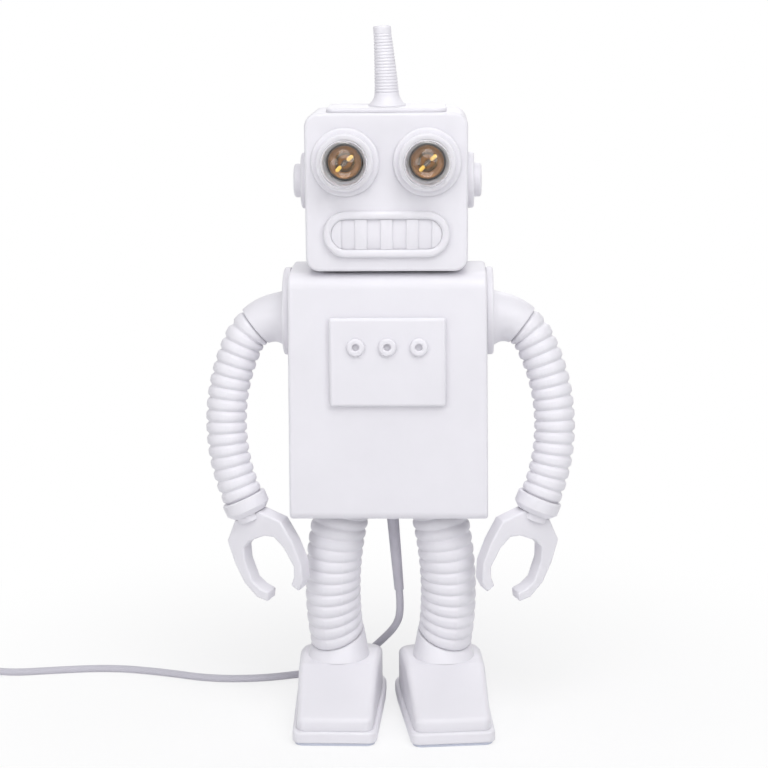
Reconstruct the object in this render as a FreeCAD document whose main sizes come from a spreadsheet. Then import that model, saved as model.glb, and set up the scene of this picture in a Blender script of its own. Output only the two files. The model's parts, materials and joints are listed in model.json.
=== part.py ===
import FreeCAD, Part
import math
import os
from types import SimpleNamespace

import Sketcher

# A white cast desk lamp in the shape of a toy robot, with two bulbs for eyes.
# The origin is on the table under the middle of the feet. The robot looks along -Y, and +Z is up.

Vector = FreeCAD.Vector
Rotation = FreeCAD.Rotation
Placement = FreeCAD.Placement

# Driving sizes in millimetres, with angles in degrees.
SIZES = {
    # Torso
    "body_y": 14,
    "body_depth": 80,
    "torso_bottom": 163.5,
    "torso_height": 186.5,
    "torso_top_width": 146,
    "torso_bottom_width": 149.2,
    "torso_top_round": 12,
    "torso_bottom_round": 7,
    "torso_edge_round": 2.5,
    "wall": 3.5,
    "floor_wall": 8,
    "plate_thick": 4,
    "plate_width": 132,
    "plate_depth": 56,
    "plate_lip": 7,
    "fit": 0.15,
    # Neck and head
    "neck_gap": 2,
    "neck_washer_radius": 20,
    "neck_radius": 5,
    "neck_bore": 3.6,
    "neck_nut_radius": 8,
    "neck_nut_height": 3,
    "head_width": 118,
    "head_height": 114.5,
    "head_round": 10,
    "head_floor": 7,
    "neck_plate_width": 88,
    "neck_plate_depth": 62,
    "neck_plate_thick": 3,
    "lid_width": 87,
    "lid_depth": 68,
    "lid_thick": 3,
    "lid_round": 7,
    # Antenna
    "antenna_height": 58,
    "antenna_lean": 3.5,
    "antenna_base_radius": 13.8,
    "antenna_low_radius": 9,
    "antenna_top_radius": 6.6,
    "antenna_flare": 9.5,
    "antenna_plain_top": 6,
    "antenna_rings": 19,
    "antenna_ring_depth": 0.45,
    "antenna_bolt_radius": 4,
    "antenna_bolt_depth": 16,
    # Eyes and bulbs
    "eye_spread": 59.5,
    "eye_drop": 35,
    "eye_flange_radius": 24.7,
    "eye_flange_thick": 3.5,
    "eye_ring_radius": 20.8,
    "eye_ring_rise": 9,
    "eye_hole_radius": 14.2,
    "bulb_radius": 17,
    "bulb_reach": 16,
    "bulb_room": 1,
    "bulb_glass": 0.8,
    "bulb_neck_radius": 6.6,
    "bulb_neck_end": 11,
    "bulb_cap_radius": 7,
    "bulb_cap_length": 20,
    "holder_radius": 13.5,
    "holder_flange_radius": 17.5,
    "holder_flange_thick": 3,
    "holder_length": 38,
    "holder_mouth_radius": 10.8,
    "holder_mouth_depth": 8,
    "filament_length": 13,
    "filament_radius": 0.8,
    # Mouth and ears
    "mouth_width": 92,
    "mouth_height": 33.5,
    "mouth_rise": 4.5,
    "mouth_bar": 5.8,
    "mouth_z": 27.4,
    "grille_thick": 2.6,
    "grille_cut": 1.2,
    "grille_slots": 4,
    "grille_pitch": 18.6,
    "grille_slot_width": 10,
    "ear_z": 62.8,
    "ear_radius": 20.75,
    "ear_rise": 4.9,
    "knob_radius": 12.5,
    "knob_rise": 5.6,
    # Chest
    "chest_width": 85.8,
    "chest_height": 66.2,
    "chest_thick": 5,
    "chest_z": 121.6,
    "button_radius": 6.65,
    "button_hole": 2.5,
    "button_rise": 3,
    "button_pitch": 23.2,
    "button_z": 133.4,
    # Arms
    "shoulder_z": 153,
    "shoulder_radius": 33,
    "shoulder_thick": 5.2,
    "arm_drop": 5,
    "arm_tilt": 6,
    "arm_base_radius": 21,
    "stub_end_radius": 16.2,
    "stub_share": 0.62,
    "arm_start": 2.9,
    "elbow_radius": 31,
    "left_elbow_turn": 65,
    "right_elbow_turn": 63.4,
    "forearm_radius": 144.5,
    "forearm_turn": 49,
    "arm_ribs": 16,
    "arm_crest": 15.5,
    "arm_valley": 13.5,
    "arm_bore": 10,
    "cuff_radius": 17.2,
    "cuff_length": 13,
    "cuff_chamfer": 4,
    "boss_radius": 11,
    "boss_length": 5,
    "claw_thick": 14,
    "claw_turn": 24,
    "claw_width": 55.5,
    "claw_length": 68,
    "claw_sink": 4.5,
    "claw_round": 1.6,
    "arm_bolt_radius": 3,
    "arm_bolt_depth": 16,
    # Legs
    "leg_ribs": 12,
    "leg_crest": 21.6,
    "leg_valley": 19.8,
    "leg_bore": 15.5,
    "hip_x": 37.6,
    "hip_y": 14,
    "hip_cuff": 5,
    "ankle_x": 42,
    "ankle_y": 18,
    "leg_bow_out": 4.8,
    "leg_bow_front": 3,
    "ankle_twist_out": 10,
    "ankle_twist_front": 5,
    "collar_radius": 23.8,
    "collar_height": 13.5,
    "rod_x": 40,
    "rod_y": 15,
    "rod_radius": 3,
    "rod_nut_radius": 5.8,
    "rod_nut_height": 4,
    # Feet
    "pad_thick": 2.5,
    "pad_inset": 1.6,
    "sole_thick": 8.5,
    "sole_toe": 82,
    "sole_heel": 52,
    "sole_toe_width": 63,
    "sole_heel_width": 70,
    "sole_round": 7,
    "heel_round": 24,
    "ledge": 3,
    "upper_round": 5,
    "foot_height": 33,
    "toe_cap": 9,
    "instep_y": 24,
    "heel_top": 24,
    "heel_slope": 36,
    "left_toe_out": 0.5,
    "right_toe_out": 6,
    # Supply cord
    "cord": 6,
    "gland_radius": 7.5,
    "gland_drop": 11.5,
    "exit_x": 1.7,
    "exit_y": 24,
    "relief_length": 61.5,
    "relief_radius": 4.6,
    "relief_tip": 3.7,
    "relief_lean_x": 4.5,
    "relief_lean_y": 7,
    "coil_x": -462,
    "coil_outer": 41,
    "coil_pitch": 6.5,
    "coil_half_turns": 5,
    "coil_tail": 24,
    "switch_x": -388,
    "switch_length": 56,
    "switch_width": 26,
    "switch_height": 13,
    "switch_wall": 1.8,
    "rocker_length": 20,
    "rocker_width": 11,
    "rocker_turn": 12,
    "plug_nose": 12,
    "plug_length": 36,
    "plug_width": 26,
    "plug_height": 18.9,
    "pin_length": 19,
    "pin_radius": 2.4,
    "pin_pitch": 19,
}

doc = FreeCAD.newDocument("RobotLamp")
sheet = doc.addObject("Spreadsheet::Sheet", "Sizes")
for row, (alias, number) in enumerate(SIZES.items(), 1):
    sheet.set(f"A{row}", alias)
    sheet.set(f"B{row}", str(number))
    sheet.setAlias(f"B{row}", alias)
doc.recompute()


class Size:
    """A size worked out from the sheet: its value now, and the expression that gives it."""

    def __init__(self, text, value):
        self.text = text
        self.value = value

    def __add__(self, other):
        return Size(f"({self.text} + {of(other).text})", self.value + of(other).value)

    def __sub__(self, other):
        return Size(f"({self.text} - {of(other).text})", self.value - of(other).value)

    def __mul__(self, other):
        return Size(f"({self.text} * {of(other).text})", self.value * of(other).value)

    def __truediv__(self, other):
        return Size(f"({self.text} / {of(other).text})", self.value / of(other).value)

    def __radd__(self, other):
        return of(other) + self

    def __rsub__(self, other):
        return of(other) - self

    def __rmul__(self, other):
        return of(other) * self

    def __neg__(self):
        return Size(f"(0 - {self.text})", -self.value)


def of(thing):
    """Any number as a Size."""
    return thing if isinstance(thing, Size) else Size(f"{thing:.6f}", thing)


cell = SimpleNamespace(**{name: Size(f"Sizes.{name}", float(sheet.get(name))) for name in SIZES})
mm = SimpleNamespace(**{name: size.value for name, size in vars(cell).items()})

nodes = {}


def keep(made, name):
    """Gives a finished piece its name, which is also its file's name."""
    made.Label = name
    nodes[name] = made
    return made


def bind(thing, path, size):
    thing.setExpression(path, of(size).text)


def place(made, x=0, y=0, z=0, turn=None):
    """Puts a piece at x, y, z, each bound to the sheet, turned by a fixed rotation."""
    made.Placement = Placement(Vector(of(x).value, of(y).value, of(z).value), turn or Rotation())
    for axis, size in (("x", x), ("y", y), ("z", z)):
        bind(made, f"Placement.Base.{axis}", size)
    return made


TO_FRONT = Rotation(Vector(1, 0, 0), 90)
SIDES = {"left": -1, "right": 1}


def to_side(side):
    """Turns a piece's own +Z to the robot's side, -1 for left and 1 for right."""
    return Rotation(Vector(0, 1, 0), 90 * side)


# Sketches and features


def new_body(name):
    return doc.addObject("PartDesign::Body", name)


def sketch_on(body, role="XY_Plane", rise=0):
    """A sketch on one of the body's own planes, raised along that plane's normal."""
    sketch = body.newObject("Sketcher::SketchObject", "Sketch")
    plane = next(f for f in body.Origin.OriginFeatures if f.Role == role)
    sketch.AttachmentSupport = [(plane, "")]
    sketch.MapMode = "FlatFace"
    bind(sketch, "AttachmentOffset.Base.z", rise)
    return sketch


def pin_point(sketch, geometry, point, x, y):
    """Holds a sketch point at x and y from the sketch's origin."""
    for kind, size, axis in (("DistanceX", of(x), -2), ("DistanceY", of(y), -1)):
        if size.value == 0:
            sketch.addConstraint(Sketcher.Constraint("PointOnObject", geometry, point, axis))
            continue
        ends = (-1, 1, geometry, point) if size.value > 0 else (geometry, point, -1, 1)
        mark = sketch.addConstraint(Sketcher.Constraint(kind, *ends, abs(size.value)))
        bind(sketch, f"Constraints[{mark}]", size if size.value > 0 else -size)


def draw_circle(sketch, radius, x=0, y=0):
    at = Vector(of(x).value, of(y).value, 0)
    mark = sketch.addGeometry(Part.Circle(at, Vector(0, 0, 1), of(radius).value), False)
    pin_point(sketch, mark, 3, x, y)
    held = sketch.addConstraint(Sketcher.Constraint("Radius", mark, of(radius).value))
    bind(sketch, f"Constraints[{held}]", radius)


def draw_outline(sketch, points):
    """A closed outline of straight lines through points, each a pair of sizes."""
    places = [Vector(of(x).value, of(y).value, 0) for x, y in points]
    marks = [
        sketch.addGeometry(Part.LineSegment(a, b), False)
        for a, b in zip(places, places[1:] + places[:1])
    ]
    for mark, following in zip(marks, marks[1:] + marks[:1]):
        sketch.addConstraint(Sketcher.Constraint("Coincident", mark, 2, following, 1))
    for mark, (x, y) in zip(marks, points):
        pin_point(sketch, mark, 1, x, y)


def draw_box(sketch, width, height, x=0, y=0):
    """A rectangle about x, y."""
    w, h, x, y = of(width) / 2, of(height) / 2, of(x), of(y)
    draw_outline(sketch, [(x - w, y - h), (x + w, y - h), (x + w, y + h), (x - w, y + h)])


def draw_stadium(sketch, width, height):
    """A slot with round ends about the sketch's origin."""
    r = of(height) / 2
    c = of(width) / 2 - r
    right, left = Vector(c.value, 0, 0), Vector(-c.value, 0, 0)
    up = Vector(0, r.value, 0)
    normal, half = Vector(0, 0, 1), math.pi / 2
    circle = [Part.Circle(at, normal, r.value) for at in (right, left)]
    sketch.addGeometry(Part.ArcOfCircle(circle[0], -half, half), False)
    sketch.addGeometry(Part.LineSegment(right + up, left + up), False)
    sketch.addGeometry(Part.ArcOfCircle(circle[1], half, 3 * half), False)
    sketch.addGeometry(Part.LineSegment(left - up, right - up), False)
    for mark in range(4):
        sketch.addConstraint(Sketcher.Constraint("Tangent", mark, 2, (mark + 1) % 4, 1))
    pin_point(sketch, 0, 3, c, 0)
    pin_point(sketch, 2, 3, -c, 0)
    held = sketch.addConstraint(Sketcher.Constraint("Radius", 0, r.value))
    bind(sketch, f"Constraints[{held}]", r)
    sketch.addConstraint(Sketcher.Constraint("Equal", 0, 2))


def worked(made):
    """Recomputes and stops at a feature that failed."""
    doc.recompute()
    if not made.isValid() or made.Shape.isNull():
        raise ValueError(f"{made.Name} failed: {made.getStatusString()}")
    return made


def feature(body, kind, sketch, length, midplane=False, backwards=False):
    made = body.newObject(f"PartDesign::{kind}", kind)
    made.Profile = sketch
    made.Midplane = midplane
    made.Reversed = backwards
    bind(made, "Length", length)
    sketch.Visibility = False
    return worked(made)


def pad(body, sketch, length, midplane=False, backwards=False):
    return feature(body, "Pad", sketch, length, midplane, backwards)


def pocket(body, sketch, length, midplane=False, backwards=False):
    """Cuts against the sketch plane's normal, or along it when backwards."""
    made = feature(body, "Pocket", sketch, length, midplane, backwards)
    before, after = made.BaseFeature.Shape.Volume, made.Shape.Volume
    if after >= before - 0.01:
        raise ValueError(f"a pocket in {body.Name} cuts nothing")
    return made


def disc(body, radius, rise, length):
    sketch = sketch_on(body, "XY_Plane", rise)
    draw_circle(sketch, radius)
    return pad(body, sketch, length)


def bore(body, radius, rise, length, at=((0, 0),)):
    """Round holes upwards from a rise, each at an x, y of the body's own."""
    sketch = sketch_on(body, "XY_Plane", rise)
    for x, y in at:
        draw_circle(sketch, radius, x, y)
    return pocket(body, sketch, length, backwards=True)


def rounded(body, test, radius):
    """Rounds the edges of the body's last feature that a test picks."""
    base = body.Tip
    names = [f"Edge{i}" for i, edge in enumerate(base.Shape.Edges, 1) if test(edge.BoundBox)]
    if not names:
        raise ValueError(f"no edge to round in {body.Name}")
    made = body.newObject("PartDesign::Fillet", "Fillet")
    made.Base = (base, names)
    bind(made, "Radius", radius)
    return worked(made)


def near(a, b):
    return abs(a - b) < 0.02


def at_top(z, inside=None):
    """Edges that lie in the plane at z, all of them or those no wider than inside."""
    def test(box):
        flat = near(box.ZMin, z) and near(box.ZMax, z)
        return flat and (inside is None or box.XLength < inside + 0.02)
    return test


def upright(box):
    return box.ZLength > 0.1 and box.XLength < 0.02 and box.YLength < 0.02


def group(name, members):
    """Like pieces that share a name, each still its own solid."""
    made = doc.addObject("Part::Compound", name)
    made.Links = members
    return keep(made, name)


def block(name, width, depth, height, corner, edge, x=0, y=0, z=0, turn=None):
    """A flat block about its own Z axis with rounded corners and a rounded top edge."""
    body = new_body(name)
    sketch = sketch_on(body)
    draw_box(sketch, width, depth)
    pad(body, sketch, height)
    rounded(body, upright, corner)
    rounded(body, at_top(of(height).value), edge)
    return place(body, x, y, z, turn)


def screw(head_radius, head_height, radius, length):
    """A screw along +Z, with its head below the origin."""
    body = new_body("Screw")
    disc(body, radius, 0, length)
    disc(body, head_radius, -of(head_height), head_height)
    return body


def nut(radius, height, hole):
    """A hexagon nut along +Z, on the origin."""
    hexagon = doc.addObject("Part::Prism", "Hexagon")
    hexagon.Polygon = 6
    bind(hexagon, "Circumradius", radius)
    bind(hexagon, "Height", height)
    drill = doc.addObject("Part::Cylinder", "Drill")
    bind(drill, "Radius", hole)
    bind(drill, "Height", height)
    made = doc.addObject("Part::Cut", "Nut")
    made.Base, made.Tool = hexagon, drill
    return made


def shaped(name, shape, placement=None):
    """A piece whose shape is worked out here from the sheet's sizes."""
    made = doc.addObject("Part::Feature", name)
    made.Shape = shape
    if placement:
        made.Placement = placement
    return made


# Heights and faces that several pieces share
front_y = cell.body_y - cell.body_depth / 2
torso_top = cell.torso_bottom + cell.torso_height
head_bottom = torso_top + cell.neck_gap
head_top = head_bottom + cell.head_height
lid_top = head_top + cell.lid_thick
foot_top = cell.pad_thick + cell.sole_thick + cell.foot_height
ankle_z = foot_top + cell.collar_height
screw_radius = 1.5
screw_head = 2.8
screw_head_height = 1.8


# Torso


def torso_side(z):
    """Half the torso's width at a height above its bottom."""
    share = of(z) / cell.torso_height
    return (cell.torso_bottom_width + (cell.torso_top_width - cell.torso_bottom_width) * share) / 2


def draw_cavity(sketch, half, low, high, corner):
    """A room between two heights whose upper corners are cut off, to leave a wall under a rounding."""
    draw_outline(sketch, [(-half, low), (half, low), (half, high - corner), (half - corner, high),
                          (corner - half, high), (-half, high - corner)])


def along_x(box):
    return box.XLength > 60 and box.YLength < 0.02 and box.ZLength < 0.02


PLATE_SCREWS = [
    ((cell.plate_width - cell.plate_lip) * 0.5 * x, (cell.plate_depth - cell.plate_lip) * 0.5 * y)
    for x in (-1, 1)
    for y in (-1, 1)
]


def torso_shell():
    body = new_body("TorsoShell")
    sketch = sketch_on(body, "XZ_Plane")
    low, high = cell.torso_bottom_width / 2, cell.torso_top_width / 2
    tall = cell.torso_height
    draw_outline(sketch, [(-low, 0), (low, 0), (high, tall), (-high, tall)])
    pad(body, sketch, cell.body_depth, midplane=True)
    top = mm.torso_height
    rounded(body, lambda b: along_x(b) and near(b.ZMin, top), cell.torso_top_round)
    rounded(body, lambda b: along_x(b) and near(b.ZMin, 0), cell.torso_bottom_round)
    rounded(body, lambda b: b.XLength < 3 and abs(b.Center.x) > 60, cell.torso_edge_round)
    sketch = sketch_on(body, "YZ_Plane")
    ceiling = cell.torso_height - cell.wall
    draw_cavity(sketch, cell.body_depth / 2 - cell.wall, cell.floor_wall, ceiling, cell.torso_top_round / 2)
    pocket(body, sketch, cell.torso_top_width - cell.wall * 2, midplane=True)
    sketch = sketch_on(body)
    draw_box(sketch, cell.plate_width + cell.fit * 2, cell.plate_depth + cell.fit * 2)
    pocket(body, sketch, cell.plate_thick, backwards=True)
    sketch = sketch_on(body, "XY_Plane", cell.plate_thick)
    lip = cell.plate_lip * 2
    draw_box(sketch, cell.plate_width - lip, cell.plate_depth - lip)
    pocket(body, sketch, cell.floor_wall - cell.plate_thick, backwards=True)
    bore(body, screw_radius + cell.fit, cell.plate_thick, cell.floor_wall - cell.plate_thick,
         PLATE_SCREWS)
    bore(body, cell.neck_radius + cell.fit, ceiling, cell.wall)
    sketch = sketch_on(body, "YZ_Plane")
    forward = -mm.arm_drop * math.sin(math.radians(mm.arm_tilt))
    draw_circle(sketch, cell.arm_bolt_radius + cell.fit, forward, cell.shoulder_z - cell.arm_drop)
    pocket(body, sketch, cell.torso_bottom_width, midplane=True)
    keep(place(body, 0, cell.body_y, cell.torso_bottom), "torso_shell")


def base_plate():
    body = new_body("BasePlate")
    sketch = sketch_on(body)
    draw_box(sketch, cell.plate_width, cell.plate_depth)
    pad(body, sketch, cell.plate_thick)
    bore(body, screw_radius + cell.fit, 0, cell.plate_thick, PLATE_SCREWS)
    rod_y = cell.rod_y - cell.body_y
    bore(body, cell.rod_radius + cell.fit, 0, cell.plate_thick,
         [(-cell.rod_x, rod_y), (cell.rod_x, rod_y)])
    bore(body, cell.cord / 2 + 2 + cell.fit, 0, cell.plate_thick,
         [(cell.exit_x, cell.exit_y - cell.body_y)])
    keep(place(body, 0, cell.body_y, cell.torso_bottom), "base_plate")


def case_screws():
    made = []
    for x, y in PLATE_SCREWS:
        one = screw(screw_head, screw_head_height, screw_radius, cell.floor_wall)
        made.append(place(one, x, cell.body_y + y, cell.torso_bottom))
    group("base_screws", made)


def chest():
    panel = block("ChestPanel", cell.chest_width, cell.chest_height, cell.chest_thick, 2, 2.6,
                  0, front_y, cell.torso_bottom + cell.chest_z, TO_FRONT)
    keep(panel, "chest_panel")
    buttons = []
    for column in (-1, 0, 1):
        body = new_body("Button")
        disc(body, cell.button_radius, 0, cell.button_rise)
        bore(body, cell.button_hole, 0, cell.button_rise)
        rise = mm.button_rise
        rounded(body, at_top(rise, 2 * mm.button_hole), 1.2)
        rounded(body, lambda b: near(b.ZMax, rise) and b.XLength > 2 * mm.button_hole + 2.5, 1.7)
        buttons.append(place(body, cell.button_pitch * column, front_y - cell.chest_thick,
                             cell.torso_bottom + cell.button_z, TO_FRONT))
    group("chest_buttons", buttons)


# Head


def head_shell():
    body = new_body("HeadShell")
    middle = cell.head_height / 2
    sketch = sketch_on(body, "XZ_Plane")
    draw_box(sketch, cell.head_width, cell.head_height, 0, middle)
    pad(body, sketch, cell.body_depth, midplane=True)
    rounded(body, lambda b: b.YLength > 60 and b.XLength < 0.02, cell.head_round)
    half = mm.body_depth / 2
    rounded(body, lambda b: b.YLength < 0.02 and near(abs(b.YMin), half), cell.torso_edge_round)
    sketch = sketch_on(body, "XZ_Plane", cell.body_depth / 2 - cell.wall)
    draw_cavity(sketch, cell.head_width / 2 - cell.wall, cell.head_floor,
                cell.head_height - cell.wall, cell.head_round / 2)
    pocket(body, sketch, cell.body_depth - cell.wall * 2)
    sketch = sketch_on(body)
    width, depth = cell.neck_plate_width, cell.neck_plate_depth
    draw_box(sketch, width + cell.fit * 2, depth + cell.fit * 2)
    pocket(body, sketch, cell.neck_plate_thick, backwards=True)
    sketch = sketch_on(body, "XY_Plane", cell.neck_plate_thick)
    lip = cell.plate_lip * 2
    draw_box(sketch, width - lip, depth - lip)
    pocket(body, sketch, cell.head_floor - cell.neck_plate_thick, backwards=True)
    sketch = sketch_on(body, "XZ_Plane", cell.body_depth / 2)
    eye_z = cell.head_height - cell.eye_drop
    for side in SIDES.values():
        draw_circle(sketch, cell.eye_hole_radius, cell.eye_spread / 2 * side, eye_z)
    pocket(body, sketch, cell.wall)
    bore(body, cell.antenna_bolt_radius + cell.fit, cell.head_height - cell.wall, cell.wall)
    keep(place(body, 0, cell.body_y, head_bottom), "head_shell")


def neck():
    body = new_body("NeckPlate")
    sketch = sketch_on(body)
    draw_box(sketch, cell.neck_plate_width, cell.neck_plate_depth)
    pad(body, sketch, cell.neck_plate_thick)
    disc(body, cell.neck_washer_radius, -cell.neck_gap, cell.neck_gap)
    bore(body, cell.neck_radius + cell.fit, -cell.neck_gap,
         cell.neck_gap + cell.neck_plate_thick)
    keep(place(body, 0, cell.body_y, head_bottom), "neck_plate")

    past = 2
    low = torso_top - cell.wall - cell.neck_nut_height - past
    high = head_bottom + cell.neck_plate_thick + cell.neck_nut_height + past
    tube = new_body("NeckTube")
    disc(tube, cell.neck_radius, 0, high - low)
    bore(tube, cell.neck_bore, 0, high - low)
    keep(place(tube, 0, cell.body_y, low), "neck_tube")
    nuts = []
    for z in (low + past, high - past - cell.neck_nut_height):
        one = nut(cell.neck_nut_radius, cell.neck_nut_height, cell.neck_radius + 0.05)
        nuts.append(place(one, 0, cell.body_y, z))
    group("neck_nuts", nuts)


def lid():
    body = block("HeadLid", cell.lid_width, cell.lid_depth, cell.lid_thick, cell.lid_round, 1.3,
                 0, cell.body_y, head_top)
    bore(body, cell.antenna_bolt_radius + cell.fit, 0, cell.lid_thick)
    keep(body, "head_lid")


def ring_at(centre, normal, radius, steady):
    """A circle about a normal whose start faces a steady direction, so that lofts don't twist."""
    across = (steady - normal * steady.dot(normal)).normalize()
    wire = Part.Wire([Part.makeCircle(radius)])
    wire.Placement = Placement(centre, Rotation(across, Vector(), normal, "ZXY"))
    return wire


def loft(rings):
    return Part.makeLoft(rings, True, True)


def antenna():
    height, lean = mm.antenna_height, mm.antenna_lean

    def ring(z, radius):
        share = z / height
        turn = math.radians(lean) * share
        centre = Vector(-math.tan(math.radians(lean)) * height * share ** 1.4, 0, z)
        normal = Vector(-math.sin(turn), 0, math.cos(turn))
        return ring_at(centre, normal, radius, Vector(0, 1, 0))

    base, low = mm.antenna_base_radius, mm.antenna_low_radius
    flare, ripple = mm.antenna_flare, mm.antenna_ring_depth
    rings = [ring(0, base), ring(flare * 0.1, base - 0.3)]
    for step in range(1, 6):
        share = step / 5
        radius = low + (base - 0.3 - low) * (1 - share) ** 2
        rings.append(ring(flare * (0.1 + 0.9 * share), radius))
    plain = height - mm.antenna_plain_top
    count = int(mm.antenna_rings)
    pitch = (plain - flare) / count
    for index in range(count):
        z = flare + pitch * index
        radius = low + (mm.antenna_top_radius - low) * (z - flare) / (plain - flare)
        for share, inset in ((0.15, ripple), (0.4, 0), (0.75, 0), (0.98, ripple)):
            rings.append(ring(z + pitch * share, radius - inset))
    top = mm.antenna_top_radius
    rings += [ring(plain + 0.4, top), ring(height - 1, top), ring(height, top - 0.9)]
    shape = loft(rings)
    hole = Part.makeCylinder(mm.antenna_bolt_radius + mm.fit, mm.antenna_bolt_depth)
    shape = shape.cut(hole)
    made = shaped("Antenna", shape)
    keep(place(made, 0, cell.body_y, lid_top), "antenna")

    reach = cell.wall + cell.lid_thick + cell.antenna_bolt_depth - 1
    bolt = screw(cell.antenna_bolt_radius + 3, 4, cell.antenna_bolt_radius, reach)
    keep(place(bolt, 0, cell.body_y, head_top - cell.wall), "antenna_bolt")


def eye(side, name):
    x = cell.eye_spread / 2 * side
    z = head_top - cell.eye_drop
    body = new_body("EyeRing")
    disc(body, cell.eye_flange_radius, 0, cell.eye_flange_thick)
    rounded(body, at_top(mm.eye_flange_thick), 2)
    disc(body, cell.eye_ring_radius, cell.eye_flange_thick,
         cell.eye_ring_rise - cell.eye_flange_thick)
    rounded(body, at_top(mm.eye_ring_rise), 1.8)
    bore(body, cell.eye_hole_radius, 0, cell.eye_ring_rise)
    ball = doc.addObject("Part::Sphere", "EyeSeat")
    bind(ball, "Radius", cell.bulb_radius + cell.bulb_room)
    bind(ball, "Placement.Base.z", cell.bulb_reach)
    ring = doc.addObject("Part::Cut", "EyeRingCut")
    ring.Base, ring.Tool = body, ball
    keep(place(ring, x, front_y, z, TO_FRONT), f"{name}_eye_ring")

    glass = []
    for inset in (of(0), cell.bulb_glass):
        globe = doc.addObject("Part::Sphere", "Globe")
        bind(globe, "Radius", cell.bulb_radius - inset)
        bind(globe, "Placement.Base.z", cell.bulb_reach)
        cone = doc.addObject("Part::Cone", "GlobeNeck")
        bind(cone, "Radius1", cell.bulb_neck_radius - inset)
        bind(cone, "Radius2", cell.bulb_neck_radius + 3.2 - inset)
        bind(cone, "Height", cell.bulb_neck_end + 2)
        bind(cone, "Placement.Base.z", -cell.bulb_neck_end)
        joined = doc.addObject("Part::Fuse", "Envelope")
        joined.Base, joined.Tool = globe, cone
        glass.append(joined)
    bulb = doc.addObject("Part::Cut", "BulbGlass")
    bulb.Base, bulb.Tool = glass
    keep(place(bulb, x, front_y, z, TO_FRONT), f"{name}_bulb_glass")

    cap = new_body("BulbCap")
    low = -cell.bulb_neck_end - cell.bulb_cap_length
    disc(cap, cell.bulb_cap_radius, low, cell.bulb_cap_length)
    disc(cap, 2.4, low - 2, 2)
    keep(place(cap, x, front_y, z, TO_FRONT), f"{name}_bulb_cap")

    stem = new_body("BulbStem")
    disc(stem, 2.2, -cell.bulb_neck_end, cell.bulb_neck_end)
    disc(stem, 1.2, 0, cell.bulb_reach - 7)
    stem_tip = Vector(0, 0, mm.bulb_reach - 7)
    parts = [stem]
    for way in (-1, 1):
        rod = doc.addObject("Part::Cylinder", "Filament")
        bind(rod, "Radius", cell.filament_radius)
        bind(rod, "Height", cell.filament_length)
        rod.Placement = Placement(stem_tip + Vector(0.4 * way, 0.5 * way, -0.6),
                                  Rotation(Vector(-1, 0.8, 0), 30 * way))
        parts.append(rod)
    joined = doc.addObject("Part::MultiFuse", "BulbMount")
    joined.Shapes = parts
    keep(place(joined, x, front_y, z, TO_FRONT), f"{name}_bulb_filament")

    holder = new_body("LampHolder")
    start = -cell.holder_length
    front = -of(1)
    disc(holder, cell.holder_radius, start, cell.holder_length + front)
    behind = -cell.wall - cell.holder_flange_thick
    disc(holder, cell.holder_flange_radius, behind, cell.holder_flange_thick)
    bore(holder, cell.holder_mouth_radius, front - cell.holder_mouth_depth,
         cell.holder_mouth_depth)
    seat = low - 2.3
    bore(holder, cell.bulb_cap_radius + 0.35, seat, front - cell.holder_mouth_depth - seat)
    keep(place(holder, x, front_y, z, TO_FRONT), f"{name}_lamp_holder")


def mouth():
    body = new_body("MouthFrame")
    sketch = sketch_on(body)
    draw_stadium(sketch, cell.mouth_width, cell.mouth_height)
    pad(body, sketch, cell.mouth_rise)
    sketch = sketch_on(body)
    bar = cell.mouth_bar * 2
    draw_stadium(sketch, cell.mouth_width - bar, cell.mouth_height - bar)
    pocket(body, sketch, cell.mouth_rise, backwards=True)
    rounded(body, at_top(mm.mouth_rise), 2.4)
    z = head_bottom + cell.mouth_z
    keep(place(body, 0, front_y, z, TO_FRONT), "mouth_frame")

    grille = new_body("MouthGrille")
    sketch = sketch_on(grille)
    bar = (cell.mouth_bar + 0.1) * 2
    draw_stadium(sketch, cell.mouth_width - bar, cell.mouth_height - bar)
    pad(grille, sketch, cell.grille_thick)
    sketch = sketch_on(grille, "XY_Plane", cell.grille_thick)
    first = -(cell.grille_slots - 1) / 2
    for column in range(int(mm.grille_slots)):
        x = cell.grille_pitch * (first + column)
        draw_box(sketch, cell.grille_slot_width, cell.mouth_height - bar, x, 0)
    pocket(grille, sketch, cell.grille_cut)
    keep(place(grille, 0, front_y, z, TO_FRONT), "mouth_grille")


def ear(side, name):
    body = new_body("Ear")
    disc(body, cell.ear_radius, 0, cell.ear_rise)
    rounded(body, at_top(mm.ear_rise), 2)
    disc(body, cell.knob_radius, cell.ear_rise, cell.knob_rise)
    rounded(body, at_top(mm.ear_rise + mm.knob_rise), 2.4)
    x = cell.head_width / 2 * side
    keep(place(body, x, cell.body_y, head_bottom + cell.ear_z, to_side(side)), f"{name}_ear")


# Arms. Each is worked out in its shoulder's own frame: x goes out from the torso's side, y back and
# z up, and the whole frame leans with that side and tilts forward about x.


def shoulder_frame(side):
    slope = math.degrees(math.atan((mm.torso_bottom_width - mm.torso_top_width) / 2 / mm.torso_height))
    at = torso_side(cell.shoulder_z).value * side
    turn = Rotation(Vector(0, 1, 0), -slope * side).multiply(Rotation(Vector(1, 0, 0), -mm.arm_tilt))
    return Placement(Vector(at, mm.body_y, mm.torso_bottom + mm.shoulder_z), turn)


def elbow_turn(side):
    """Angle of an elbow's bend, in radians, and its length along the centreline."""
    bend = math.radians(mm.left_elbow_turn if side < 0 else mm.right_elbow_turn)
    return bend, mm.arm_start + mm.elbow_radius * bend


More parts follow.
